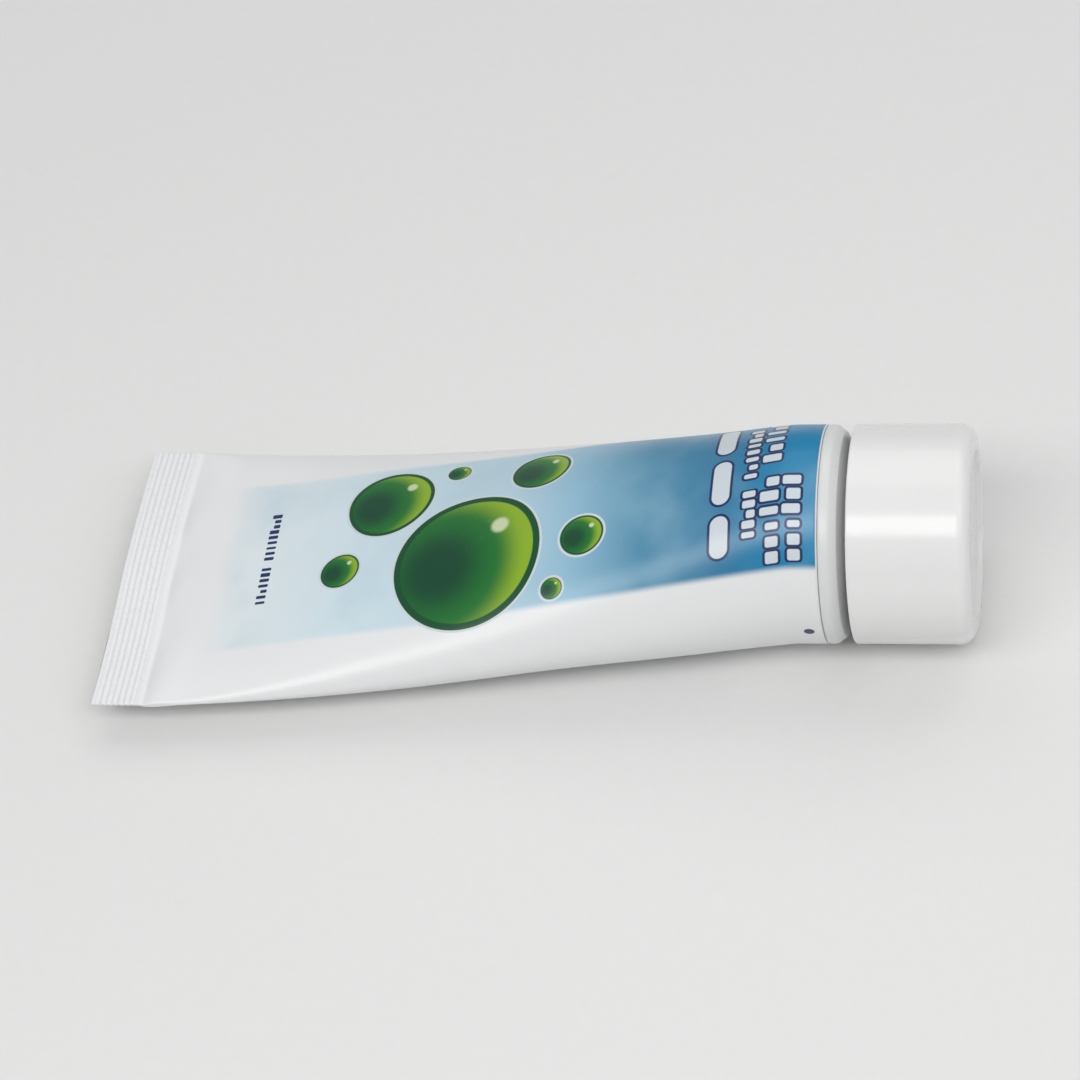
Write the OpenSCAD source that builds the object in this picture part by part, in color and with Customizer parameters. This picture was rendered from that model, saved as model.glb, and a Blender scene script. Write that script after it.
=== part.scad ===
// Soft laminate tube of shaving cream with a smooth stand-up screw cap, lying on its back.
// The tube's axis runs along X with the cap towards +X. The tail is crimped flat, parallel to Y.
// The origin is on the surface that the tube lies on, under the middle of its length.

/* [Sleeve] */
// Outer diameter of the sleeve's round end, of the shoulder's bead and of the cap
body_d = 35; // [28:0.5:45]
// Length of the sleeve, from the bead to the cut edge of the tail
sleeve_len = 120; // [90:1:160]
// Thickness of the laminate
sleeve_wall = 0.35; // [0.25:0.05:0.6]
// Length of the flat crimped band at the tail
crimp_len = 8; // [5:0.5:12]
// Height of the crimp's middle plane above the surface that the tube lies on
tail_height = 7; // [3:0.5:12]
// How far the filled sleeve's own weight flattens its underside
rest_flat = 1.2; // [0.6:0.1:1.6]

/* [Shoulder] */
// Length of the bead that shows between the sleeve and the cap
bead_len = 2.9; // [2:0.1:4]
// How much narrower the bead's top is than the sleeve, on the radius
bead_drop = 1.3; // [0.8:0.1:2]
// Length of the spigot that the sleeve is welded to
spigot_len = 4; // [3:0.5:6]
// Thickness of the shoulder's cone and of the spigot
shoulder_wall = 1.2; // [0.8:0.1:1.6]
// Slope of the shoulder's cone, in degrees
shoulder_angle = 30; // [20:1:36]

/* [Neck] */
// Outer diameter of the neck's thread
thread_d = 15; // [12:0.5:18]
// Depth of the thread
thread_depth = 0.9; // [0.6:0.05:1.1]
// Travel of the cap for each turn
thread_pitch = 3; // [2.5:0.1:4]
// Thickness of the neck's wall
neck_wall = 1.4; // [1:0.1:2]
// Diameter of the orifice in the neck's tip
orifice_d = 6.4; // [5.8:0.1:7]
// Thickness of the tip around the orifice
tip_wall = 1.4; // [1:0.1:2]

/* [Cap] */
// Length of the cap
cap_len = 19; // [16:0.5:26]
// Gap between the bead and the cap's rim, which shows as a dark groove
cap_gap = 1.5; // [0.8:0.1:2.5]
// Thickness of the cap's outer wall
cap_wall = 1.2; // [1:0.1:2]
// Radius of the rounded edge at the cap's closed end
cap_edge = 2.5; // [1:0.1:4]
// Thickness of the cap's closed end
roof_wall = 1.6; // [1.2:0.1:2.5]
// Depth of the shallow recess in the closed end
recess = 0.8; // [0.4:0.1:1.5]
// Width of the flat ring that the cap stands on
stand_ring = 1.6; // [1:0.1:3]
// Thickness of the threaded skirt inside the cap
skirt_wall = 1.2; // [0.8:0.1:1.6]
// Number of stiffening ribs between the skirt and the outer wall
rib_count = 8; // [4:4:12]
// Thickness of a rib
rib_wall = 0.9; // [0.6:0.1:1.4]

/* [Inner parts] */
// Thickness of the sealing liner in the cap
liner_thick = 1.3; // [0.8:0.1:2]
// Thickness of the barrier insert under the shoulder
insert_thick = 0.4; // [0.3:0.05:0.8]

/* [Clearances] */
// Radial and axial play between the neck's thread and the cap's
thread_clear = 0.2; // [0.15:0.05:0.3]
// Play between parts that are welded, pressed or filled together
weld_gap = 0.03; // [0.02:0.01:0.08]
// Play around the liner, which lets the cap turn on it
liner_clear = 0.3; // [0.2:0.05:0.5]

/* [Hidden] */
$fn = 96;

// The tube's own axis: s is 0 where the sleeve meets the bead, and grows towards the cap.
body_r = body_d / 2;
cap_low = bead_len + cap_gap;
cap_high = cap_low + cap_len;
shoulder_x = (sleeve_len - cap_high) / 2;

// Sleeve: the outline keeps its length as it flattens, so a flat tail is half the circumference wide.
flat_half = PI * body_r / 2;
belly_start = 1.1;   // a larger value keeps the sleeve round for longer
belly_end = 0.8;     // a smaller value keeps it full closer to the tail
widen = 1.7;         // how the width follows the height of a flattening ellipse
sag = 4;             // how late the underside leaves the surface
collar_len = spigot_len + 1;                      // stays round over the spigot
soft_len = sleeve_len - crimp_len - collar_len;   // flattens from round to the crimp
around = 64;
outer_rings = 26;
inner_rings = 24;
cream_end = 0.93;    // how far down the soft length the cream may reach
crimp_step = 0.6;    // length of the step from the soft part into the crimp

// Shoulder and neck
spigot_r = (body_r - sleeve_wall) * cos(180 / around) - weld_gap;
spigot_in = spigot_r - shoulder_wall;
cone_r = body_r - bead_drop;
root_r = thread_d / 2 - thread_depth;
bore_r = root_r - neck_wall;
slope = tan(shoulder_angle);
cone_skin = shoulder_wall / cos(shoulder_angle);
neck_low = cone_s(root_r);
neck_top = cap_high - recess - roof_wall - liner_thick;
tip_bevel = 0.4;
bead_steps = 10;

// Thread
thread_crest = 0.4;  // half the width of a crest, along the axis
thread_foot = 0.9;   // half the width of a thread where it leaves the wall
thread_bury = 0.3;   // how deep its root goes into the wall
thread_step = 10;    // degrees between two sections
thread_fade = 40;    // degrees over which an end rises from the wall
thread_low = neck_low + thread_foot + 0.3;
thread_high = neck_top - thread_foot - 0.5;

// Cap
skirt_bore = thread_d / 2 + thread_clear;
skirt_r = skirt_bore + skirt_wall;
cap_in = body_r - cap_wall;
roof_low = cap_high - recess - roof_wall;
skirt_low = cone_s(skirt_r) + 1;
rib_low = skirt_low + 4;
rim_bevel = 0.3;

// Height along the axis of the shoulder's cone at radius r
function cone_s(r) = bead_len + (cone_r - r) * slope;

// Shape of the sleeve at u, from 0 at the collar's end to 1 where the crimp begins
function half_height(u) = max(sleeve_wall, body_r * pow(1 - pow(u, belly_start), belly_end));
function half_width(u) =
    flat_half - (flat_half - body_r) * pow(half_height(u) / body_r, widen);
function underside(u) = (tail_height - sleeve_wall) * pow(u, sag) - rest_flat * 4 * u * (1 - u);

// A closed loop of points round the axis at s, with half width w, half height h and its middle at height z;
// nothing goes below floor, which makes the flat that the soft sleeve lies on
function loop(s, w, h, z, floor = 0) =
    [for (i = [0:around - 1]) let (a = 360 * i / around)
        [shoulder_x + s, w * cos(a), max(floor, z + h * sin(a))]];
function sleeve_loop(u, inset) =
    let (h = half_height(u))
    loop(-collar_len - soft_len * u, half_width(u) - inset, h - inset, underside(u) + h, inset);
function crimp_loop(s) = loop(s, flat_half, sleeve_wall, tail_height);
function round_loop(s, r) = loop(s, r, r, body_r);

// Steps from 0 to 1 that grow closer towards 1
function steps(n) = [for (i = [0:n]) 1 - pow(1 - i / n, 1.6)];
function backwards(list) = [for (i = [len(list) - 1:-1:0]) list[i]];

// One thread section at angle a: its foot is buried in the wall and its crest stands off by rise
function thread_loop(a, s, foot_r, crest_r, rise) =
    let (r = foot_r + (crest_r - foot_r) * rise, buried = foot_r - sign(crest_r - foot_r) * thread_bury)
    [for (p = [[buried, -thread_foot], [r, -thread_crest], [r, thread_crest], [buried, thread_foot]])
        [p[0] * cos(a), p[0] * sin(a), s + p[1]]];

// Skin over a row of loops that all have the same number of points, closed at both ends
module skin(loops) {
    n = len(loops[0]);
    last = len(loops) - 1;
    sides = [for (j = [0:last - 1], i = [0:n - 1])
        [j * n + i, j * n + (i + 1) % n, (j + 1) * n + (i + 1) % n, (j + 1) * n + i]];
    ends = [
        [for (i = [n - 1:-1:0]) i],
        [for (i = [0:n - 1]) last * n + i]
    ];
    polyhedron(points = [for (l = loops) each l], faces = concat(sides, ends), convexity = 6);
}

// A right-hand thread from s = low to s = high; crest_r is outside foot_r on a neck and inside it in a cap
module thread(low, high, foot_r, crest_r, phase) {
    sweep = 360 * (high - low) / thread_pitch;
    count = ceil(sweep / thread_step);
    loops = [for (i = [0:count])
        let (
            t = sweep * i / count,
            rise = max(0.05, min(1, t / thread_fade, (sweep - t) / thread_fade))
        )
        thread_loop(t + phase + 360 * low / thread_pitch, low + (high - low) * i / count,
            foot_r, crest_r, rise)];
    skin(crest_r > foot_r ? loops : backwards(loops));
}

// Places a part that is drawn upright on s = 0 on the tube's axis
module on_axis() {
    translate([shoulder_x, 0, body_r]) rotate([0, 90, 0]) children();
}

// Laminate sleeve, open at the bead and sealed flat at the tail
module tube_sleeve() {
    inner = [for (u = backwards(steps(inner_rings))) if (half_height(u) > 2 * sleeve_wall)
        sleeve_loop(u, sleeve_wall)];
    mouth = [round_loop(0, body_r - sleeve_wall), round_loop(0, body_r)];
    outer = [for (u = steps(outer_rings)) sleeve_loop(u, 0)];
    crimp = [for (s = [-sleeve_len + crimp_len - crimp_step, -sleeve_len]) crimp_loop(s)];
    color("whitesmoke") skin(backwards(concat(inner, mouth, outer, crimp)));
}

// Moulded shoulder: spigot, bead, cone, threaded neck and the tip with its orifice
module tube_shoulder() {
    bead = [for (i = [0:bead_steps]) let (a = 90 * i / bead_steps)
        [cone_r + bead_drop * cos(a), bead_len * sin(a)]];
    color("white") on_axis() {
        rotate_extrude() polygon(concat(
            [[spigot_in, -spigot_len], [spigot_r, -spigot_len], [spigot_r, 0]],
            bead,
            [
                [root_r, neck_low],
                [root_r, neck_top - tip_bevel],
                [root_r - tip_bevel, neck_top],
                [orifice_d / 2, neck_top],
                [orifice_d / 2, neck_top - tip_wall],
                [bore_r, neck_top - tip_wall],
                [bore_r, cone_s(bore_r) - cone_skin],
                [spigot_in, cone_s(spigot_in) - cone_skin]
            ]
        ));
        thread(thread_low, thread_high, root_r, thread_d / 2, 0);
    }
}

// Thin cone under the shoulder that keeps the cream's scent in
module barrier_insert() {
    top_r = bore_r;
    low_r = spigot_in - weld_gap;
    skin_s = insert_thick / cos(shoulder_angle);
    color("silver") on_axis()
        rotate_extrude() polygon([
            [top_r, cone_s(top_r) - cone_skin - weld_gap],
            [low_r, cone_s(low_r) - cone_skin - weld_gap],
            [low_r, cone_s(low_r) - cone_skin - weld_gap - skin_s],
            [top_r, cone_s(top_r) - cone_skin - weld_gap - skin_s]
        ]);
}

// The cream that fills the sleeve up to the insert
module cream_fill() {
    under = cone_skin + insert_thick / cos(shoulder_angle) + 2 * weld_gap;
    front_r = spigot_in - 2 * weld_gap;
    body = [for (u = backwards(steps(inner_rings))) if (u < cream_end)
        sleeve_loop(u, sleeve_wall + weld_gap)];
    front = [
        round_loop(-spigot_len - weld_gap, body_r - sleeve_wall - weld_gap),
        round_loop(-spigot_len - weld_gap, front_r),
        round_loop(cone_s(front_r) - under, front_r),
        round_loop(cone_s(bore_r) - under, bore_r)
    ];
    color("ivory") skin(backwards(concat(body, front)));
}

// One-piece screw cap: outer wall, recessed end, threaded skirt and stiffening ribs
module screw_cap() {
    color("white") on_axis() {
        rotate_extrude() difference() {
            union() {
                translate([0, cap_low]) square([body_r, cap_len - cap_edge]);
                translate([0, cap_low]) square([body_r - cap_edge, cap_len]);
                translate([body_r - cap_edge, cap_high - cap_edge]) intersection() {
                    circle(cap_edge);
                    square(cap_edge);
                }
            }
            translate([skirt_r, cap_low - 1]) square([cap_in - skirt_r, roof_low - cap_low + 1]);
            translate([-1, cap_low - 1]) square([skirt_bore + 1, roof_low - cap_low + 1]);
            translate([-1, cap_low - 1]) square([cap_in + 1, skirt_low - cap_low + 1]);
            translate([-1, cap_high - recess]) square([body_r - cap_edge - stand_ring + 1, recess + 1]);
            polygon([
                [cap_in - 1, cap_low - 1],
                [cap_in - 1, cap_low],
                [cap_in, cap_low + 1],
                [cap_in + rim_bevel, cap_low],
                [cap_in + rim_bevel, cap_low - 1]
            ]);
        }
        for (i = [0:rib_count - 1]) rotate(360 * (i + 0.5) / rib_count)
            translate([(skirt_bore + skirt_r) / 2, -rib_wall / 2, rib_low])
                cube([cap_in + cap_wall / 2 - (skirt_bore + skirt_r) / 2, rib_wall,
                    roof_low + roof_wall / 2 - rib_low]);
        thread(skirt_low + thread_foot + 0.2, thread_high - thread_pitch / 2, skirt_bore,
            root_r + thread_clear, 180);
    }
}

// Loose sealing disc in the end of the skirt; the cap turns on it and it seals the tip
module cap_liner() {
    color("gainsboro") on_axis()
        translate([0, 0, neck_top])
            cylinder(r = skirt_bore - liner_clear, h = liner_thick - weld_gap);
}

tube_sleeve();
tube_shoulder();
barrier_insert();
cream_fill();
screw_cap();
cap_liner();
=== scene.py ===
import math
import bpy
import numpy as np
from mathutils import Matrix, Vector


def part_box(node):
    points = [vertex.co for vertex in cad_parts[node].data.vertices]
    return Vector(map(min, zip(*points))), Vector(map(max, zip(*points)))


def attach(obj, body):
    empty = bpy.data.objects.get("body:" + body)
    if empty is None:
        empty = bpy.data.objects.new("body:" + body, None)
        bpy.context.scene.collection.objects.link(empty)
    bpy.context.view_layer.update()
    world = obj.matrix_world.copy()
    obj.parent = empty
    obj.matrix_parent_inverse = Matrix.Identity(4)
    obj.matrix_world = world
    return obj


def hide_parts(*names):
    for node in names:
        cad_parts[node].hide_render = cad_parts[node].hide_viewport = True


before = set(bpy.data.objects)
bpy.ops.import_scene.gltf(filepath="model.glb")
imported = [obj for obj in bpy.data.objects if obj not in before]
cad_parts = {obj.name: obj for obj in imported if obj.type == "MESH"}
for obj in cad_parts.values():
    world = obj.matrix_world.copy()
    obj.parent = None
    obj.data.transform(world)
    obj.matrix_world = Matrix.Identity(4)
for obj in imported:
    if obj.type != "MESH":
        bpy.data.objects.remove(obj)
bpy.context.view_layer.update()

mm = 0.001

# Places come from the frame. The tube's axis runs along X: s is measured along it from the bead towards the
# cap, and d the other way, from the bead to the tail.
capLow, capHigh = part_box("screw_cap")
sleeveLow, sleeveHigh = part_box("tube_sleeve")
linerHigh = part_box("cap_liner")[1]
bodyR = (capHigh.z - capLow.z) / 2
axisZ = (capHigh.z + capLow.z) / 2
beadX = sleeveHigh.x
tubeLength = beadX - sleeveLow.x
rimS = capLow.x - beadX
endS = capHigh.x - beadX
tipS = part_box("tube_shoulder")[1].x - beadX
linerS = linerHigh.x - beadX
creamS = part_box("cream_fill")[1].x - beadX
web = 2 * math.pi * bodyR  # the laminate's width before it is rolled


def buildMesh(name, points, quads, triangles, places=None):
    # puts whole arrays into a mesh; places is one (u, v) for each face corner, quads first
    loops = np.concatenate([quads.ravel(), triangles.ravel()]).astype(np.int32)
    counts = np.concatenate([np.full(len(quads), 4), np.full(len(triangles), 3)]).astype(np.int32)
    starts = np.concatenate([[0], np.cumsum(counts)[:-1]]).astype(np.int32)
    mesh = bpy.data.meshes.new(name)
    mesh.vertices.add(len(points))
    mesh.vertices.foreach_set("co", points.astype(np.float32).ravel())
    mesh.loops.add(len(loops))
    mesh.loops.foreach_set("vertex_index", loops)
    mesh.polygons.add(len(counts))
    mesh.polygons.foreach_set("loop_start", starts)
    mesh.polygons.foreach_set("use_smooth", np.ones(len(counts), bool))
    if places is not None:
        layer = mesh.uv_layers.new(name="printMap")
        layer.data.foreach_set("uv", places.astype(np.float32).ravel())
    mesh.update(calc_edges=True)
    mesh.validate()
    piece = bpy.data.objects.new(name, mesh)
    bpy.context.scene.collection.objects.link(piece)
    return piece


def skinGrid(name, grid, ring=False, poles=None, places=None):
    # joins rows of points, each row closed on itself, into one closed skin: the last row joins the first
    # (ring), or each end row closes on its pole point; places has one more column than the grid
    rows, cols = grid.shape[:2]
    index = np.arange(rows * cols).reshape(rows, cols)
    here = index if ring else index[:-1]
    there = np.roll(index, -1, 0) if ring else index[1:]
    quads = np.stack([here, np.roll(here, -1, 1), np.roll(there, -1, 1), there], -1).reshape(-1, 4)
    if ring:
        return buildMesh(name, grid.reshape(-1, 3), quads, np.zeros((0, 3), int))
    points = np.concatenate([grid.reshape(-1, 3), poles])
    first, last = rows * cols, rows * cols + 1
    triangles = np.concatenate([
        np.stack([np.roll(index[0], -1), index[0], np.full(cols, first)], -1),
        np.stack([index[-1], np.roll(index[-1], -1), np.full(cols, last)], -1)])
    if places is None:
        return buildMesh(name, points, quads, triangles)
    now, after = places[:-1], places[1:]
    corners = [np.stack([now[:, :-1], now[:, 1:], after[:, 1:], after[:, :-1]], 2).reshape(-1, 2)]
    for one, other in ((places[0, 1:], places[0, :-1]), (places[-1, :-1], places[-1, 1:])):
        corners.append(np.stack([one, other, (one + other) / 2], 1).reshape(-1, 2))
    return buildMesh(name, points, quads, triangles, np.concatenate(corners))


def faceOut(piece):
    # a closed skin faces outwards when the volume that its faces sweep is positive; otherwise it is turned
    mesh = piece.data
    mesh.calc_loop_triangles()
    co = np.zeros(len(mesh.vertices) * 3)
    mesh.vertices.foreach_get("co", co)
    tri = np.zeros(len(mesh.loop_triangles) * 3, int)
    mesh.loop_triangles.foreach_get("vertices", tri)
    a, b, c = np.swapaxes(co.reshape(-1, 3)[tri.reshape(-1, 3)], 0, 1)
    if np.einsum("ij,ij->i", a, np.cross(b, c)).sum() < 0:
        mesh.flip_normals()
    return piece


def smooth(x, low, high):
    # 0 at low and 1 at high along an S-curve: 3 t squared less 2 t cubed
    t = np.clip((x - low) / (high - low), 0, 1)
    return t * t * (3 - 2 * t)


onLine = 0.01 * mm  # how near a point lies to a radius that it belongs to


def roundedOutline(corners, step, closed=False, arcSteps=8, threadR=0, threadStep=0.2 * mm):
    # an outline of straight runs from corners (s, r, fillet): each corner becomes an arc of its fillet
    # radius, and each straight run is cut into lengths of at most step, or threadStep at radius threadR
    pts = np.array([c[:2] for c in corners], float)
    fillets = [c[2] for c in corners]
    n = len(pts)
    run = []
    for i in range(n):
        if fillets[i] <= 0 or (not closed and i in (0, n - 1)):
            run.append(pts[i][None])
            continue
        back = pts[i - 1] - pts[i]
        ahead = pts[(i + 1) % n] - pts[i]
        back, ahead = back / np.linalg.norm(back), ahead / np.linalg.norm(ahead)
        half = math.acos(np.clip(back @ ahead, -1, 1)) / 2
        middle = pts[i] + (back + ahead) / np.linalg.norm(back + ahead) * fillets[i] / math.sin(half)
        reach = fillets[i] / math.tan(half)
        start, stop = pts[i] + back * reach - middle, pts[i] + ahead * reach - middle
        turn = math.atan2(start[0] * stop[1] - start[1] * stop[0], start @ stop)
        t = np.linspace(0, turn, arcSteps + 1)[:, None]
        side = np.array([-start[1], start[0]])
        run.append(middle + start * np.cos(t) + side * np.sin(t))
    line = np.concatenate(run + ([run[0][:1]] if closed else []))
    along = np.diff(line, axis=0)
    onThread = np.abs(line[:, 1] - threadR) < onLine
    longest = np.where(onThread[:-1] & onThread[1:], threadStep, step)
    count = np.maximum(1, np.ceil(np.linalg.norm(along, axis=1) / longest)).astype(int)
    which = np.repeat(np.arange(len(count)), count)
    share = (np.arange(len(which)) - np.repeat(np.cumsum(count) - count, count)) / count[which]
    cut = line[which] + along[which] * share[:, None]
    return cut if closed else np.concatenate([cut, line[-1:]])


# The neck's right-hand thread, which the cap's skirt follows half a turn away
thread = dict(pitch=3 * mm, depth=0.9 * mm, crest=0.4 * mm, foot=0.9 * mm, fade=1.0 * mm)


def threadRise(s, angle, phase, low, high):
    # 1 on a crest and 0 between: the distance along the axis to the nearest point of the helix, cut to a
    # trapezium with eased corners, fading in and out at its ends
    turns = s / thread["pitch"] - (angle - phase) / (2 * math.pi)
    away = turns - np.round(turns)
    centre = s - away * thread["pitch"]
    rise = 1 - smooth(np.abs(away) * thread["pitch"], thread["crest"], thread["foot"])
    return rise * np.clip(np.minimum(centre - low, high - centre) / thread["fade"], 0, 1)


def turnedPiece(name, outline, cols, ring=True, swell=None):
    # revolves an outline of (s, r) about the tube's axis: y is r sin(angle) and z is the axis less
    # r cos(angle); swell(s, r, angle) adds to the radius
    angle = 2 * math.pi * np.arange(cols) / cols
    s, r = outline[:, :1], outline[:, 1:]
    radius = r + (swell(s, r, angle[None]) if swell else np.zeros((1, cols)))
    grid = np.stack([
        np.broadcast_to(beadX + s, radius.shape),
        radius * np.sin(angle),
        axisZ - radius * np.cos(angle)], -1)
    poles = [(beadX + outline[i, 0], 0, axisZ) for i in (0, -1)]
    return faceOut(skinGrid(name, grid, ring=ring, poles=poles))


sleeve = dict(
    wall=0.35 * mm, crimp=8 * mm, collar=5 * mm, tail=7 * mm,
    # how the section flattens: see sleevePoints
    bellyStart=1.1, bellyEnd=0.8, widen=1.7, sag=4, restFlat=1.2 * mm, sideRoom=0.11 * mm,
    squareOff=0.82, squareRun=9 * mm,
    # rows and columns of points; the rows crowd towards the crimp
    rows=170, crowding=1.15, crimpRows=84, cols=272, innerRows=50, innerStop=4.5 * mm,
    # the crimp's embossed lines, and where they fade in and out from its two edges
    ridge=1.0 * mm, ridgeDepth=0.10 * mm, ridgeStart=(0.5 * mm, 1.1 * mm), ridgeStop=(1.1 * mm, 0.6 * mm),
    # folds that fan out from the crimp, long waves in the laminate, and the wavy cut edge
    foldDepth=0.28 * mm, foldRun=9 * mm, foldWidth=3.1 * mm, foldSway=9 * mm, foldSwing=1.3, foldStop=3 * mm,
    waveDepth=0.06 * mm, waveRun=11 * mm, waveSway=7 * mm, waveSwing=2, waveStart=(6 * mm, 20 * mm),
    edgeWave=0.55 * mm, edgeRun=8.5 * mm, edgeStart=25 * mm, edgeTurn=0.6,
    # soft dents: distance from the bead, place round the front, reach each way and depth, all in mm
    dents=[(30, -4, 13, 9, 0.55), (55, 13, 16, 8, 0.6), (60, -17, 20, 7, 0.7), (84, -2, 14, 12, 0.6),
           (92, 17, 12, 6, 0.45), (97, -17, 10, 6, 0.5), (24, 26, 14, 9, 0.5), (70, 40, 18, 12, 0.7),
           (45, -40, 16, 10, 0.6), (96, 45, 12, 12, 0.5), (13, -12, 6, 8, 0.16), (18, 9, 7, 7, 0.2)],
    # where the dents fade in from the bead, and out before the crimp
    dentStart=(6 * mm, 14 * mm), dentStop=(8 * mm, 1 * mm),
    # how high above the floor the skin rests, and where that starts
    rest=0.02 * mm, restStart=3 * mm,
)
crimpStart = tubeLength - sleeve["crimp"]


def sleevePoints(d, phi):
    # phi is the angle from the top. The section is an ellipse. Its half height h falls from the radius to
    # the wall as (1 - u^bellyStart)^bellyEnd, and its half width grows to the flat tail's as h^widen falls,
    # so its outline about keeps its length. The underside dips by restFlat, where the floor presses it flat,
    # and rises late, as u^sag, to the tail.
    k = sleeve
    u = np.clip((d - k["collar"]) / (crimpStart - k["collar"]), 0, 1)
    h = np.maximum(k["wall"], bodyR * (1 - u ** k["bellyStart"]) ** k["bellyEnd"])
    flat = web / 4 - k["sideRoom"]
    w = flat - (flat - bodyR) * (h / bodyR) ** k["widen"]
    under = (k["tail"] - k["wall"]) * u ** k["sag"] - k["restFlat"] * 4 * u * (1 - u)
    square = 1 - k["squareOff"] * smooth(d, crimpStart - k["squareRun"], crimpStart)
    c = np.cos(phi)
    y = w * np.sin(phi)
    z = under + h + h * np.sign(c) * np.abs(c) ** square
    z = np.where(d > crimpStart, k["tail"] + (z - under - h), z)
    return np.stack([np.broadcast_to(beadX - d, z.shape), y, z], -1)


def outwardNormals(grid):
    # the cross product of the grid's two directions, turned away from the middle of each row
    along = np.gradient(grid, axis=0)
    wrapped = np.concatenate([grid[:, -1:], grid, grid[:, :1]], 1)
    normal = np.cross(along, (wrapped[:, 2:] - wrapped[:, :-2]) / 2)
    normal /= np.maximum(np.linalg.norm(normal, axis=-1, keepdims=True), 1e-12)
    middle = grid.mean(1, keepdims=True)
    return normal * np.sign(np.einsum("ijk,ijk->ij", normal, grid - middle).sum())


def roundPlace(grid):
    # distance round the sleeve from the top line for each point of a closed row, scaled to the flat web
    step = np.linalg.norm(np.roll(grid, -1, 1) - grid, axis=-1)
    run = np.concatenate([np.zeros((len(grid), 1)), np.cumsum(step, 1)], 1)
    return run / step.sum(1, keepdims=True) * web - web / 2


def sleeveSurface(d, cols):
    # the sleeve's outer surface, pushed inwards by its dents, folds and waves, with its embossed crimp; also
    # the place of each point round the web
    k = sleeve
    phi = np.linspace(-math.pi, math.pi, cols, endpoint=False)[None]
    d = d[:, None]
    grid = sleevePoints(d, phi)
    place = roundPlace(grid)
    a = place[:, :-1]
    normal = outwardNormals(grid)
    # each dent is a bell curve in both directions
    inward = np.zeros(a.shape)
    for dentD, dentA, reachD, reachA, depth in k["dents"]:
        away = (a - dentA * mm + web / 2) % web - web / 2
        bell = ((d - dentD * mm) / (reachD * mm)) ** 2 + (away / (reachA * mm)) ** 2
        inward += depth * mm * np.exp(-bell)
    stop, end = k["dentStop"]
    inward *= smooth(d, *k["dentStart"]) * (1 - smooth(d, crimpStart - stop, crimpStart - end))
    # folds die away along the sleeve, and stop short of the crimp
    near = np.exp(-(crimpStart - d) / k["foldRun"]) * (d < crimpStart)
    near = near * (1 - smooth(d, crimpStart - k["foldStop"], crimpStart))
    sway = k["foldSwing"] * np.sin(a / k["foldSway"])
    inward += k["foldDepth"] * near * np.sin(a / k["foldWidth"] + sway)
    sway = k["waveSwing"] * np.sin(a / k["waveSway"])
    inward += k["waveDepth"] * smooth(d, *k["waveStart"]) * np.sin(d / k["waveRun"] + sway)
    grid = grid - normal * inward[..., None]
    # fine lines across the crimp
    embossed = smooth(d, crimpStart + k["ridgeStart"][0], crimpStart + k["ridgeStart"][1])
    embossed = embossed * (1 - smooth(d, tubeLength - k["ridgeStop"][0], tubeLength - k["ridgeStop"][1]))
    grid[..., 2] += k["ridgeDepth"] * embossed * np.sin(2 * math.pi * d / k["ridge"])
    wave = smooth(d, crimpStart - k["edgeStart"], tubeLength)
    grid[..., 2] += k["edgeWave"] * wave * np.sin(grid[..., 1] / k["edgeRun"] + k["edgeTurn"])
    grid[..., 2] = np.maximum(grid[..., 2], k["rest"] * smooth(d, 0, k["restStart"]))
    return grid, place, outwardNormals(grid)


def makeSleeve():
    # one skin: the inside from near the crimp to the bead, then the outside from the bead to the cut edge
    k = sleeve
    t = np.linspace(0, 1, k["rows"])
    soft = crimpStart * (1 - (1 - t) ** k["crowding"])
    crimp = np.linspace(crimpStart, tubeLength, k["crimpRows"] + 1)[1:]
    d = np.concatenate([soft, crimp])
    outer, outerPlace, _ = sleeveSurface(d, k["cols"])
    dIn = np.linspace(0, crimpStart - k["innerStop"], k["innerRows"])
    base, innerPlace, normal = sleeveSurface(dIn, k["cols"])
    inner = base - normal * k["wall"]
    grid = np.concatenate([inner[::-1], outer])
    unit = 100 * mm
    along = np.concatenate([dIn[::-1], d])[:, None]
    place = np.concatenate([innerPlace[::-1], outerPlace])
    places = np.stack([np.broadcast_to(along, place.shape), place], -1) / unit
    # the inside is plain: its places lie far from the print
    places[:len(dIn), :, 0] -= 5
    poles = (inner[-1].mean(0), outer[-1].mean(0))
    return faceOut(skinGrid("sleevePrinted", grid, poles=poles, places=places))


sleevePiece = makeSleeve()
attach(sleevePiece, "tube")
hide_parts("tube_sleeve")
print("sleeve made,", len(sleevePiece.data.polygons), "faces")

shoulder = dict(
    spigot=4 * mm, wall=1.2 * mm, bead=2.9 * mm, drop=1.3 * mm, slope=math.tan(math.radians(30)),
    fit=0.06 * mm, seam=0.12 * mm, threadR=7.5 * mm, neckWall=1.4 * mm, orifice=3.2 * mm, tip=1.4 * mm,
    step=0.17 * mm, cols=200,
)
spigotR = bodyR - sleeve["wall"] - shoulder["fit"]
spigotIn = spigotR - shoulder["wall"]
coneR = bodyR - shoulder["drop"]
rootR = shoulder["threadR"] - thread["depth"]
boreR = rootR - shoulder["neckWall"]
coneSkin = shoulder["wall"] / math.cos(math.atan(shoulder["slope"]))


def coneS(r):
    # how far along the axis the shoulder's cone is at radius r
    return shoulder["bead"] + (coneR - r) * shoulder["slope"]


threadLow = coneS(rootR) + thread["foot"] + 0.3 * mm
threadHigh = tipS - thread["foot"] - 0.5 * mm


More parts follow.
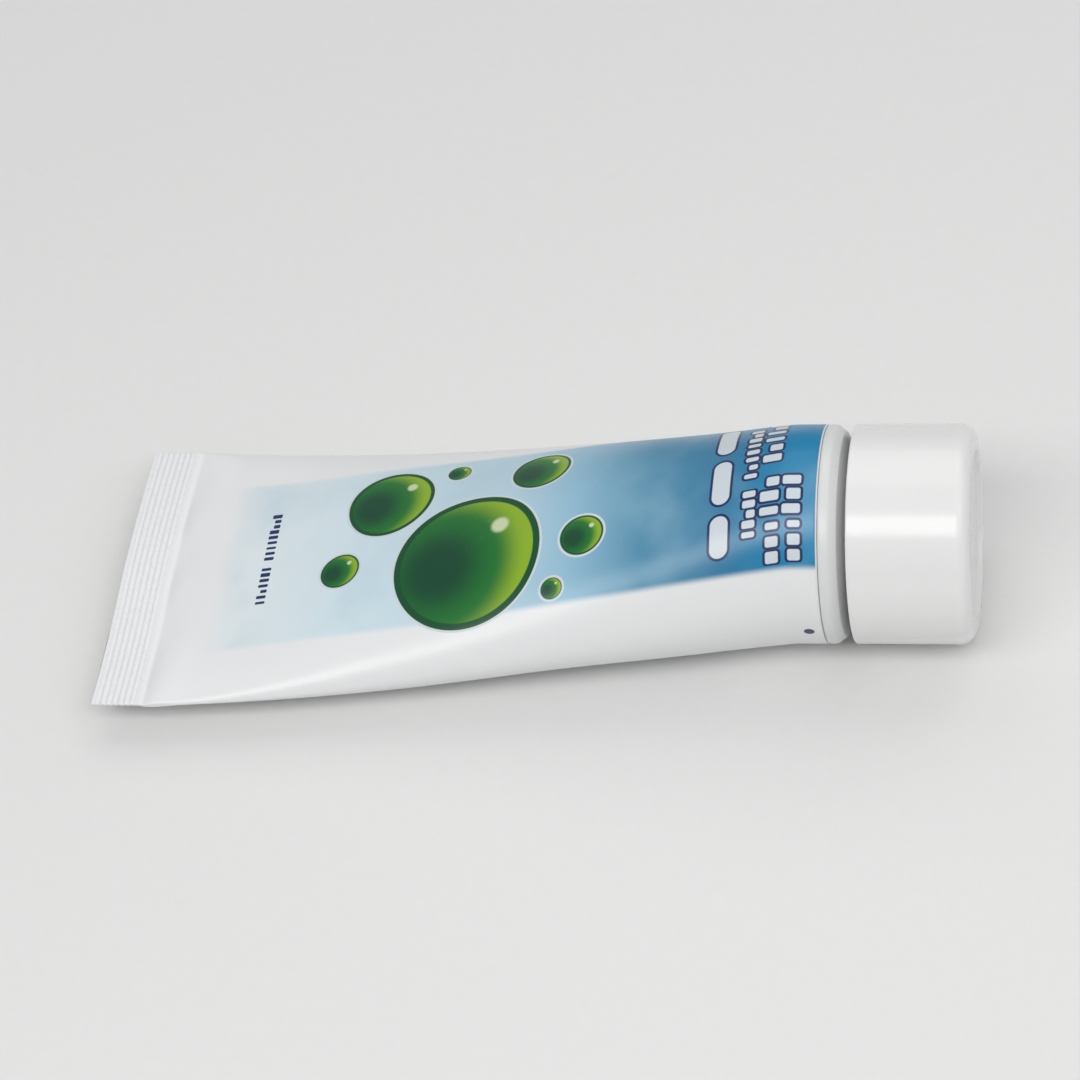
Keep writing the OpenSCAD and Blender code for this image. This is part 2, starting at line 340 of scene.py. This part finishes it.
def makeShoulder():
    # a closed outline from the spigot over the seam, the bead and the cone, up the neck and down the bore
    k = shoulder
    corners = [
        (-k["spigot"], spigotIn, 0.2 * mm), (-k["spigot"], spigotR, 0.2 * mm), (k["seam"], spigotR, 0),
        (k["seam"], bodyR - 0.1 * mm, 0.08 * mm), (0.45 * mm, bodyR, 0.5 * mm),
        (1.5 * mm, bodyR, 1.4 * mm), (k["bead"], coneR + 0.15 * mm, 0.35 * mm),
        (coneS(coneR - 0.8 * mm), coneR - 0.8 * mm, 0), (coneS(rootR), rootR, 0.5 * mm),
        (tipS, rootR, 0.35 * mm), (tipS, k["orifice"], 0.25 * mm),
        (tipS - k["tip"], k["orifice"], 0.15 * mm), (tipS - k["tip"], boreR, 0.2 * mm),
        (coneS(boreR) - coneSkin, boreR, 0.2 * mm), (coneS(spigotIn) - coneSkin, spigotIn, 0.2 * mm),
    ]

    def swell(s, r, angle):
        on = (np.abs(r - rootR) < onLine) & (s > coneS(rootR))
        return on * thread["depth"] * threadRise(s, angle, 0, threadLow, threadHigh)

    outline = roundedOutline(corners, k["step"], closed=True)
    return turnedPiece("shoulderMoulding", outline, k["cols"], swell=swell)


shoulderPiece = makeShoulder()
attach(shoulderPiece, "tube")
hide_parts("tube_shoulder")

insert = dict(thick=0.4 * mm, fit=0.03 * mm, edge=0.1 * mm, step=0.6 * mm, cols=128)
insertSkin = insert["thick"] / math.cos(math.atan(shoulder["slope"]))


def makeInsert():
    # a thin cone, parallel to the shoulder's and a fit below it
    k = insert
    low, top = spigotIn - k["fit"], boreR
    under = coneSkin + k["fit"]
    ends = [(top, 0), (low, 0), (low, insertSkin), (top, insertSkin)]
    corners = [(coneS(r) - under - skin, r, k["edge"]) for r, skin in ends]
    outline = roundedOutline(corners, k["step"], closed=True, arcSteps=3)
    return turnedPiece("barrierCone", outline, k["cols"])


insertPiece = makeInsert()
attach(insertPiece, "tube")
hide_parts("barrier_insert")

cream = dict(
    rows=60, cols=160, inset=0.75 * mm, start=0.4 * mm, reach=0.82, dome=1.4 * mm, domeRows=12, coneRows=10,
    fit=0.05 * mm, frontFit=0.1 * mm,
)


def makeCream():
    # the sleeve's own surface drawn in, closed in front by the cone under the insert and, in the neck, by a
    # dome that falls off with the square of the radius
    k = cream
    phi = np.linspace(-math.pi, math.pi, k["cols"], endpoint=False)
    d = np.linspace(shoulder["spigot"] + k["start"], k["reach"] * tubeLength, k["rows"])
    base, _, normal = sleeveSurface(d, k["cols"])
    body = base - normal * k["inset"]
    under = coneSkin + insertSkin + 3 * insert["fit"]
    front = spigotIn - k["frontFit"]
    bore = boreR - k["fit"]
    dome = np.linspace(0.08, 1, k["domeRows"])
    domeS = creamS - k["dome"] * dome ** 2 - onLine
    coneEnd = min(domeS[-1], coneS(bore) - under)
    outline = np.concatenate([
        np.stack([domeS, dome * bore], -1),
        np.linspace((coneEnd - k["fit"], bore + k["fit"]), (coneS(front) - under, front), k["coneRows"]),
        [(-shoulder["spigot"] - k["frontFit"], front)],
    ])
    s, r = outline[:, :1], outline[:, 1:]
    nose = np.stack([np.broadcast_to(beadX + s, (len(outline), k["cols"])), r * np.sin(phi),
                     axisZ + r * np.cos(phi)], -1)
    poles = ((beadX + domeS[0], 0, axisZ), body[-1].mean(0))
    return faceOut(skinGrid("creamBody", np.concatenate([nose, body]), poles=poles))


creamPiece = makeCream()
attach(creamPiece, "tube")
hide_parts("cream_fill")
print("shoulder, insert and cream made")

cap = dict(
    wall=1.2 * mm, edge=2.5 * mm, roof=1.6 * mm, recess=0.8 * mm, ring=1.6 * mm, skirtWall=1.2 * mm,
    clear=0.2 * mm, gate=1.1 * mm, gateRise=0.3 * mm, step=0.6 * mm, cols=288,
    ribs=8, ribWall=0.9 * mm, ribThin=0.7, ribBite=0.3 * mm, ribStart=4 * mm, ribRoot=0.4 * mm,
    ribEdge=0.15 * mm,
)
poleR = 0.02 * mm  # radius of the first ring round a pole
skirtBore = shoulder["threadR"] + cap["clear"]
skirtR = skirtBore + cap["skirtWall"]
skirtS = coneS(skirtR) + 1 * mm
roofS = endS - cap["recess"] - cap["roof"]
capIn = bodyR - cap["wall"]


def makeCap():
    # an open outline from the middle of the recessed end, over the edge, down the outer wall, up its inside,
    # and down and up the threaded skirt to the middle again
    k = cap
    recessR = bodyR - k["edge"] - k["ring"]
    recessS = endS - k["recess"]
    corners = [
        (recessS + k["gateRise"], poleR, 0), (recessS + k["gateRise"], k["gate"], 0.15 * mm),
        (recessS, k["gate"] + 0.3 * mm, 0.25 * mm), (recessS, recessR - 0.5 * mm, 0.5 * mm),
        (endS, recessR, 0.3 * mm), (endS, bodyR, k["edge"]),
        (rimS, bodyR, 0.3 * mm), (rimS, capIn + 0.3 * mm, 0.2 * mm), (rimS + 1 * mm, capIn, 0.4 * mm),
        (roofS, capIn, 0.5 * mm), (roofS, skirtR, 0.4 * mm), (skirtS, skirtR, 0.25 * mm),
        (skirtS, skirtBore, 0.3 * mm), (roofS, skirtBore, 0.2 * mm), (roofS, poleR, 0),
    ]
    outline = roundedOutline(corners, k["step"], arcSteps=10, threadR=skirtBore)
    reach = skirtBore - rootR - k["clear"]

    def swell(s, r, angle):
        on = (np.abs(r - skirtBore) < onLine) & (s > skirtS) & (s < roofS)
        low = skirtS + thread["foot"] + 0.2 * mm
        return on * -reach * threadRise(s, angle, math.pi, low, threadHigh - thread["pitch"] / 2)

    return turnedPiece("capShell", outline, k["cols"], ring=False, swell=swell)


def makeRibs():
    # thin plates between the skirt and the outer wall, each a closed wedge that is thinner at its free edge
    k = cap
    low, high = skirtS + k["ribStart"], roofS + k["ribRoot"]
    inner, outer = skirtR - k["ribBite"], capIn + k["ribBite"]
    s = np.repeat([low, high], 4)
    r = np.tile([inner, outer, outer, inner], 2)
    across = np.tile([-1, -1, 1, 1], 2) * np.repeat([k["ribThin"], 1], 4) * k["ribWall"] / 2
    turn = 2 * math.pi * (np.arange(k["ribs"]) + 0.5) / k["ribs"]
    sine, cosine = np.sin(turn)[:, None], np.cos(turn)[:, None]
    y = r * sine + across * cosine
    z = axisZ - (r * cosine - across * sine)
    points = np.stack([np.broadcast_to(beadX + s, y.shape), y, z], -1).reshape(-1, 3)
    box = np.array([[0, 1, 2, 3], [7, 6, 5, 4], [0, 4, 5, 1], [1, 5, 6, 2], [2, 6, 7, 3], [3, 7, 4, 0]])
    quads = (box[None] + 8 * np.arange(k["ribs"])[:, None, None]).reshape(-1, 4)
    piece = faceOut(buildMesh("capRibs", points, quads, np.zeros((0, 3), int)))
    bevel = piece.modifiers.new("edges", "BEVEL")
    bevel.width, bevel.segments = k["ribEdge"], 2
    return piece


capPiece = makeCap()
ribPiece = makeRibs()
for piece in (capPiece, ribPiece):
    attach(piece, "cap")
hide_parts("screw_cap")

liner = dict(dimple=0.12 * mm, dimpleEdge=0.4 * mm, soft=0.3 * mm, topSoft=0.25 * mm, step=0.4 * mm, cols=128)


def makeLiner():
    # a foam disc with soft edges and a shallow dimple over the neck's orifice
    k = liner
    low, high, r = tipS, linerS, linerHigh.z - axisZ
    corners = [
        (low + k["dimple"], poleR, 0), (low + k["dimple"], shoulder["orifice"], k["soft"]),
        (low, shoulder["orifice"] + k["dimpleEdge"], k["soft"]), (low, r, k["soft"]),
        (high, r, k["topSoft"]), (high, poleR, 0),
    ]
    return turnedPiece("capLiner", roundedOutline(corners, k["step"], arcSteps=5), k["cols"], ring=False)


linerPiece = makeLiner()
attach(linerPiece, "liner")
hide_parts("cap_liner")
print("cap and liner made")


class Field:
    # a socket that can be used in Python arithmetic: each operator adds a Math node
    def __init__(self, finish, socket):
        self.finish = finish
        self.socket = socket

    def __add__(self, other):
        return self.finish.maths("ADD", self, other)

    def __radd__(self, other):
        return self.finish.maths("ADD", other, self)

    def __sub__(self, other):
        return self.finish.maths("SUBTRACT", self, other)

    def __rsub__(self, other):
        return self.finish.maths("SUBTRACT", other, self)

    def __mul__(self, other):
        return self.finish.maths("MULTIPLY", self, other)

    def __rmul__(self, other):
        return self.finish.maths("MULTIPLY", other, self)

    def __truediv__(self, other):
        return self.finish.maths("DIVIDE", self, other)

    def __mod__(self, other):
        return self.finish.maths("FLOORED_MODULO", self, other)

    def __abs__(self):
        return self.finish.maths("ABSOLUTE", self)

    def least(self, other):
        return self.finish.maths("MINIMUM", self, other)

    def most(self, other):
        return self.finish.maths("MAXIMUM", self, other)

    def floor(self):
        return self.finish.maths("FLOOR", self)

    def ease(self, low, high):
        # 0 at low and 1 at high, smoothly; low may be the larger
        return self.finish.node("ShaderNodeMapRange", {"interpolation_type": "SMOOTHSTEP"},
                                {"Value": self, "From Min": low, "From Max": high})

    def band(self, low, high, edge):
        # 1 between low and high, with edges inside them
        return self.ease(low, low + edge) * self.ease(high, high - edge)


class Finish:
    # a procedural material on one Principled shader
    def __init__(self, name):
        self.material = bpy.data.materials.new(name)
        self.material.use_nodes = True
        self.tree = self.material.node_tree
        self.shader = self.tree.nodes["Principled BSDF"]

    def put(self, socket, value):
        if isinstance(value, Field):
            self.tree.links.new(value.socket, socket)
        elif isinstance(value, (tuple, list)) and socket.type == "RGBA" and len(value) == 3:
            socket.default_value = (*value, 1)
        else:
            socket.default_value = value

    def node(self, kind, settings=None, inputs=None, out=0):
        made = self.tree.nodes.new(kind)
        for key, value in (settings or {}).items():
            if key == "stops":
                ramp = made.color_ramp
                while len(ramp.elements) < len(value):
                    ramp.elements.new(1)
                for element, (place, colour) in zip(ramp.elements, value):
                    element.position, element.color = place, (*colour, 1)
            else:
                setattr(made, key, value)
        for key, value in (inputs or {}).items():
            self.put(made.inputs[key], value)
        return Field(self, made.outputs[out])

    def maths(self, operation, *values):
        return self.node("ShaderNodeMath", {"operation": operation}, dict(enumerate(values)))

    def mix(self, factor, a, b):
        return self.node("ShaderNodeMix", {"data_type": "RGBA"}, {0: factor, 6: a, 7: b}, 2)

    def parts(self, vector):
        # the first two parts of a vector or colour
        split = self.node("ShaderNodeSeparateXYZ", {}, {0: vector}).socket.node
        return Field(self, split.outputs[0]), Field(self, split.outputs[1])

    def noise(self, scale, detail=2.0, rough=0.5, stretch=(1, 1, 1)):
        place = self.node("ShaderNodeTexCoord", out=3)
        place = self.node("ShaderNodeMapping", {}, {"Vector": place, "Scale": stretch})
        return self.node("ShaderNodeTexNoise", {}, {"Vector": place, "Scale": scale, "Detail": detail,
                                                    "Roughness": rough})

    def bump(self, height, distance, strength=1.0):
        return self.node("ShaderNodeBump", {}, {"Height": height, "Distance": distance, "Strength": strength})

    def surface(self, sockets):
        # sets the shader's own sockets, and gives the finished material
        for key, value in sockets.items():
            self.put(self.shader.inputs[key], value)
        return self.material


def wear(piece, material):
    piece.data.materials.clear()
    piece.data.materials.append(material)


# The print, all in mm: d runs from the bead to the tail, a runs round the front from the top line
label = dict(
    unit=100, edge=0.07, outline=0.42, corner=0.35, seed=2.0,
    # the panel: half its width, its soft edge, and its colour by distance from the bead
    panelHalf=17.6, panelSoft=0.75, panelStart=0.15, panelFade=98,
    panel=[(0, (0.0, 0.205, 0.41)), (7, (0.0, 0.205, 0.40)), (15, (0.035, 0.19, 0.345)),
           (28, (0.075, 0.255, 0.40)), (40, (0.27, 0.48, 0.62)), (52, (0.47, 0.64, 0.73)),
           (80, (0.62, 0.74, 0.79)), (104, (0.74, 0.78, 0.79))],
    white=(0.78, 0.79, 0.79), navy=(0.010, 0.026, 0.105), mark=(0.60, 0.66, 0.70), haze=(0.30, 0.50, 0.62),
    # runs of blocks where a label has words: place along d, height, start round a, pitch and number
    words=[(4.05, 2.9, -16.7, 2.43, 6), (7.55, 3.0, -16.9, 2.47, 6), (7.55, 3.0, 0.2, 2.47, 6),
           (10.85, 2.1, -12.4, 1.66, 5), (10.85, 2.1, -2.5, 1.76, 8)],
    # a block's half width as a share of its pitch, and how much of its height a short one loses
    blockWidth=(0.22, 0.17), blockCut=0.32,
    # plain bars: place along d, half height, start and end round a
    bars=[(15.6, 1.45, -14.6, -7.8), (15.6, 1.45, -5.8, 2.6), (15.6, 1.45, 4.6, 14.4)],
    # a cluster of bubbles: place along d and round a, and radius
    bubbles=[(58.0, -7.0, 12.5), (73.5, 8.5, 7.5), (47.5, 10.5, 5.0), (80.5, -5.0, 3.4), (38.5, -6.5, 3.6),
             (43.0, -15.0, 1.8), (62.5, 14.0, 2.0)],
    # small navy blocks near the tail, as the words above
    foot=[(94.0, 1.7, -9.8, 1.15, 7), (94.0, 1.7, -0.6, 1.15, 9)],
    footCorner=0.2, footSeed=20,
)

# A bubble's colours from its dark side to its bright side, its rim and its small glint; lengths are shares
# of its radius
bubble = dict(
    dark=(0.004, 0.062, 0.026), green=(0.012, 0.160, 0.026), lime=(0.25, 0.42, 0.02),
    rim=(0.004, 0.075, 0.024), rimWidth=0.08, glint=(0.66, 0.74, 0.50), glintAt=0.42, glintSize=0.08,
    shift=0.38, tilt=0.1, halo=0.4,
)

# The back and the web, in mm: lines of fine print, the tail's bar, the seam and the printer's spot
backPrint = dict(
    low=16.0, high=96.0, half=18.5, row=2.4, middle=55, web=110, barLow=104, barHigh=110.1, barHalf=4,
    seam=(29.0, 29.1, 31.2, 30.8), seamShade=(0.42, 0.46, 0.50), spot=(2.2, -31.0, 0.85),
    scuff=(0.75, 0.77, 0.78), crimp=(111.6, 112.4), crimpDust=(0.5, 0.52, 0.53),
)


def makeLaminate():
    k = label
    f = Finish("printedLaminate")
    d, a = (part * k["unit"] for part in f.parts(f.node("ShaderNodeUVMap", {"uv_map": "printMap"})))

    def inside(distance):
        return distance.ease(k["edge"], -k["edge"])

    def pair(x, y):
        return f.node("ShaderNodeCombineXYZ", {}, {0: x, 1: y})

    def length(x, y):
        return f.node("ShaderNodeVectorMath", {"operation": "LENGTH"}, {0: pair(x, y)}, 1)

    def away(dc, ac):
        return length(d - dc, a - ac)

    def roundBox(down, across, corner):
        # distance to a box with rounded corners, from the distances past its inner box
        return length(down.most(0), across.most(0)) + down.most(across).least(0) - corner

    def blocks(dc, height, start, pitch, count, seed, corner):
        # distance to a run of blocks, one to a pitch: their widths vary and some are short, on one foot line
        cell = ((a - start) / pitch).floor()
        chance = f.node("ShaderNodeTexWhiteNoise", {"noise_dimensions": "1D"}, {"W": cell + seed}, 1)
        first, second = f.parts(chance)
        half = (k["blockWidth"][0] + k["blockWidth"][1] * first) * pitch
        cut = second.ease(0.50, 0.51) * (k["blockCut"] * height)
        down = abs(d - dc + cut / 2) - (height - cut) / 2 + corner
        across = abs((a - start) % pitch - pitch / 2) - half + corner
        end = start + count * pitch
        beyond = 9 * (1 - a.ease(start - 0.01, start) * a.ease(end, end - 0.01))
        return roundBox(down, across, corner) + beyond

    def outlined(colour, distance, line, fill, width):
        colour = f.mix(inside(distance - width), colour, line)
        return f.mix(inside(distance), colour, fill)

    # paper-white web, then the panel, which pales from the cap towards the tail under a soft swirl
    cloud = f.noise(38, 2, 0.5)
    worn = f.noise(900, 3)
    last = k["panel"][-1][0]
    stops = [(at / last, hue) for at, hue in k["panel"]]
    panelColour = f.node("ShaderNodeValToRGB", {"stops": stops}, {0: d / last})
    swirl = f.node("ShaderNodeTexNoise", {}, {"Vector": pair(d, a), "Scale": 0.055, "Detail": 3.0})
    panelColour = f.mix((swirl - 0.44).ease(0, 0.4) * 0.45, panelColour, k["haze"])
    panel = (abs(a) - k["panelHalf"]).ease(k["panelSoft"], -k["panelSoft"])
    panel = panel * d.ease(k["panelStart"], 2 * k["panelStart"]) * (1 - d.ease(k["panelFade"], last))
    colour = f.mix(panel, k["white"], panelColour)

    # the bubbles: dark towards the tail and bright towards the cap, each with a dark rim and a glint
    b = bubble
    for dc, ac, radius in k["bubbles"]:
        far = away(dc, ac) / radius
        glow = away(dc + b["shift"] * radius, ac - b["tilt"] * radius) / radius
        body = f.mix(glow.ease(0.25, 0.85), b["dark"], b["green"])
        body = f.mix(glow.ease(0.78, 1.22), body, b["lime"])
        body = f.mix(far.ease(1 - 1.25 * b["rimWidth"], 1 - b["rimWidth"]), body, b["rim"])
        glint = away(dc - b["glintAt"] * radius, ac + b["glintAt"] * radius) / radius
        body = f.mix(glint.ease(0.15, b["glintSize"]) * 0.8, body, b["glint"])
        colour = outlined(colour, (far - 1) * radius, k["mark"], body, b["halo"])

    # blocks and bars in pale grey with a navy outline, and small navy ones near the tail
    for i, word in enumerate(k["words"]):
        distance = blocks(*word, 3.7 * i + k["seed"], k["corner"])
        colour = outlined(colour, distance, k["navy"], k["mark"], k["outline"])
    for dc, half, start, end in k["bars"]:
        across = abs(a - (start + end) / 2) - ((end - start) / 2 - half)
        colour = outlined(colour, roundBox(abs(d - dc), across, half), k["navy"], k["mark"], k["outline"])
    for i, word in enumerate(k["foot"]):
        distance = blocks(*word, 5.1 * i + k["footSeed"], k["footCorner"])
        colour = f.mix(inside(distance), colour, k["navy"])

    # on the back, lines of fine blocks and a bar near the tail; on one side, a spot near the bead
    p = backPrint
    row = p["row"]
    around = (a + p["web"]) % p["web"]
    dash = f.node("ShaderNodeTexNoise", {"noise_dimensions": "2D"}, {
        "Vector": pair((d / row).floor() * 7.3, around * 0.8), "Scale": 1.0})
    fine = abs(d % row - row / 2).ease(0.42, 0.32) * dash.ease(0.40, 0.43)
    zone = abs(around - p["middle"]).ease(p["half"] + 0.1, p["half"]) * d.band(p["low"], p["high"], 0.1)
    colour = f.mix(fine * zone * 0.8, colour, k["navy"])
    bar = abs(around - p["middle"]).ease(p["barHalf"] + 0.1, p["barHalf"])
    colour = f.mix(bar * d.band(p["barLow"], p["barHigh"], 0.1), colour, k["navy"])
    spotD, spotA, spotR = p["spot"]
    colour = f.mix(inside(away(spotD, spotA) - spotR), colour, k["navy"])

    # the web's overlap runs along the other side; handling leaves faint scuffs, and dust on the crimp
    seam = a.ease(p["seam"][0], p["seam"][1]) * a.ease(p["seam"][2], p["seam"][3])
    colour = f.mix(seam * 0.08, colour, p["seamShade"])
    scuff = worn.ease(0.62, 0.74) * cloud.ease(0.45, 0.7)
    colour = f.mix(scuff * 0.08, colour, p["scuff"])
    crimp = d.ease(*p["crimp"])
    colour = f.mix(crimp * f.noise(1500, 2).ease(0.52, 0.62) * 0.12, colour, p["crimpDust"])
    grain = f.noise(2600, 2)
    ripple = f.noise(95, 2, 0.5, (0.6, 1, 1))
    normal = f.bump(ripple * 0.8 + grain * 0.03 + seam * 0.5, 0.00012, 0.55)
    rough = 0.23 + 0.10 * cloud + 0.16 * scuff + 0.12 * crimp + 0.03 * grain
    return f.surface({"Base Color": colour, "Roughness": rough, "Normal": normal, "IOR": 1.49})


def makeMoulded(name, colour, rough, scatter, wax):
    # white injection-moulded plastic: faint orange peel, hairline scuffs, dull patches and specks of dust
    f = Finish(name)
    patch = f.noise(60, 3)
    hair = f.noise(420, 3, 0.6, (1, 4, 4))
    dust = f.noise(2400, 2)
    tone = f.mix(patch * 0.25, colour, tuple(c * 0.94 for c in colour))
    tone = f.mix(dust.ease(0.66, 0.76) * 0.10, tone, (0.45, 0.44, 0.42))
    gloss = rough + 0.08 * patch.ease(0.45, 0.75) + 0.06 * hair.ease(0.62, 0.78)
    peel = f.noise(700, 2) * 0.35 + f.noise(130, 2) * 0.65
    return f.surface({"Base Color": tone, "Roughness": gloss, "Normal": f.bump(peel, 0.00004, 0.35),
                      "IOR": 1.5, "Subsurface Weight": scatter, "Subsurface Scale": wax,
                      "Subsurface Radius": (0.004, 0.0036, 0.0032)})


def makeInsertFinish():
    f = Finish("insertPlastic")
    grain = f.noise(900, 2)
    colour = f.mix(grain, (0.55, 0.57, 0.60), (0.70, 0.72, 0.74))
    return f.surface({"Base Color": colour, "Roughness": 0.3 + 0.15 * grain,
                      "Normal": f.bump(grain, 0.00003, 0.4)})


def makeCreamFinish():
    f = Finish("shavingCream")
    soft = f.noise(260, 3)
    fine = f.noise(1800, 3)
    colour = f.mix(soft, (0.86, 0.88, 0.87), (0.93, 0.94, 0.92))
    return f.surface({"Base Color": colour, "Roughness": 0.38 + 0.15 * soft,
                      "Normal": f.bump(soft * 0.8 + fine * 0.2, 0.0004, 0.5),
                      "Subsurface Weight": 0.3, "Subsurface Radius": (0.003, 0.003, 0.003),
                      "Subsurface Scale": 0.5})


def makeFoam():
    f = Finish("linerFoam")
    place = f.node("ShaderNodeTexCoord", out=3)
    cells = f.node("ShaderNodeTexVoronoi", {}, {"Vector": place, "Scale": 2600.0})
    colour = f.mix(cells.ease(0.1, 0.6), (0.72, 0.72, 0.70), (0.84, 0.84, 0.82))
    return f.surface({"Base Color": colour, "Roughness": 0.7 + 0.15 * cells,
                      "Normal": f.bump(cells, 0.00006, 0.6)})


wear(sleevePiece, makeLaminate())
capFinish = makeMoulded("capPlastic", (0.80, 0.80, 0.787), 0.17, 0.12, 0.5)
wear(capPiece, capFinish)
wear(ribPiece, capFinish)
wear(shoulderPiece, makeMoulded("shoulderPlastic", (0.70, 0.71, 0.70), 0.34, 0.2, 0.6))
wear(insertPiece, makeInsertFinish())
wear(creamPiece, makeCreamFinish())
wear(linerPiece, makeFoam())
print("finishes made")

stage = dict(half=1.6, points=33, colour=(0.76, 0.757, 0.748), grainShade=0.97, rough=0.85)


def makeFloor():
    # a flat square grid at the height that the tube lies on
    k = stage
    t = np.linspace(-1, 1, k["points"]) * k["half"]
    x, y = np.meshgrid(t, t, indexing="ij")
    points = np.stack([x, y, np.zeros_like(x)], -1).reshape(-1, 3)
    index = np.arange(k["points"] ** 2).reshape(k["points"], -1)
    quads = np.stack([index[:-1, :-1], index[1:, :-1], index[1:, 1:], index[:-1, 1:]], -1).reshape(-1, 4)
    floor = buildMesh("floor", points, quads, np.zeros((0, 3), int))
    f = Finish("floorPaper")
    grain = f.noise(420, 3)
    colour = f.mix(grain, k["colour"], tuple(c * k["grainShade"] for c in k["colour"]))
    wear(floor, f.surface({"Base Color": colour, "Roughness": k["rough"],
                           "Normal": f.bump(grain, 0.0001, 0.2)}))


# the camera stands in front and a little towards the cap, and looks down on the tube by rise degrees
view = dict(lens=120, sensor=36, clip=0.01, distance=0.585, rise=50, alongCap=0.115, lookX=0.001, lookZ=0.016)

# each lamp's rise is above the floor, and its turn goes from the front towards the cap, in degrees
lamps = [
    dict(name="windowStrip", rise=59, turn=0, distance=0.85, size=(1.1, 0.30), power=4.7,
         colour=(1.0, 0.995, 0.98)),
    dict(name="backSoftbox", rise=55, turn=168, distance=1.1, size=(1.4, 0.9), power=3.8,
         colour=(1.0, 0.985, 0.965)),
    dict(name="sideFill", rise=38, turn=75, distance=1.1, size=(0.6, 0.6), power=1.3,
         colour=(0.96, 0.98, 1.0)),
]
studio = dict(colour=(0.93, 0.95, 1.0, 1), strength=0.33, lampsLookAt=(0.01, 0, 0.015))


def aim(thing, place, target):
    # turns a camera or lamp at place towards target, with its width level and as near to X as it can be
    back = (Vector(place) - Vector(target)).normalized()
    right = Vector((1, 0, 0))
    right = (right - back * right.dot(back)).normalized()
    axes = Matrix((right, back.cross(right), back)).transposed()
    thing.matrix_world = Matrix.Translation(place) @ axes.to_4x4()


def makeCamera():
    k = view
    data = bpy.data.cameras.new("camera")
    data.lens, data.sensor_width, data.clip_start = k["lens"], k["sensor"], k["clip"]
    data.dof.use_dof = False
    camera = bpy.data.objects.new("camera", data)
    bpy.context.scene.collection.objects.link(camera)
    rise = math.radians(k["rise"])
    reach = math.sqrt(k["distance"] ** 2 - k["alongCap"] ** 2)
    place = (k["alongCap"], -reach * math.cos(rise), k["lookZ"] + reach * math.sin(rise))
    aim(camera, place, (k["lookX"], 0, k["lookZ"]))
    bpy.context.scene.camera = camera


def makeLamp(name, rise, turn, distance, size, power, colour):
    # a rectangular area lamp that looks at the tube
    data = bpy.data.lights.new(name, "AREA")
    data.shape, data.size, data.size_y = "RECTANGLE", size[0], size[1]
    data.energy, data.color = power, colour
    lamp = bpy.data.objects.new(name, data)
    bpy.context.scene.collection.objects.link(lamp)
    rise, turn = math.radians(rise), math.radians(turn)
    place = (distance * math.cos(rise) * math.sin(turn), -distance * math.cos(rise) * math.cos(turn),
             distance * math.sin(rise))
    aim(lamp, place, studio["lampsLookAt"])


makeFloor()
makeCamera()
for lamp in lamps:
    makeLamp(**lamp)

world = bpy.data.worlds.new("studio")
world.use_nodes = True
world.node_tree.nodes["Background"].inputs[0].default_value = studio["colour"]
world.node_tree.nodes["Background"].inputs[1].default_value = studio["strength"]
bpy.context.scene.world = world
bpy.context.scene.view_settings.view_transform = "Standard"
print("stage, lamps and camera made")
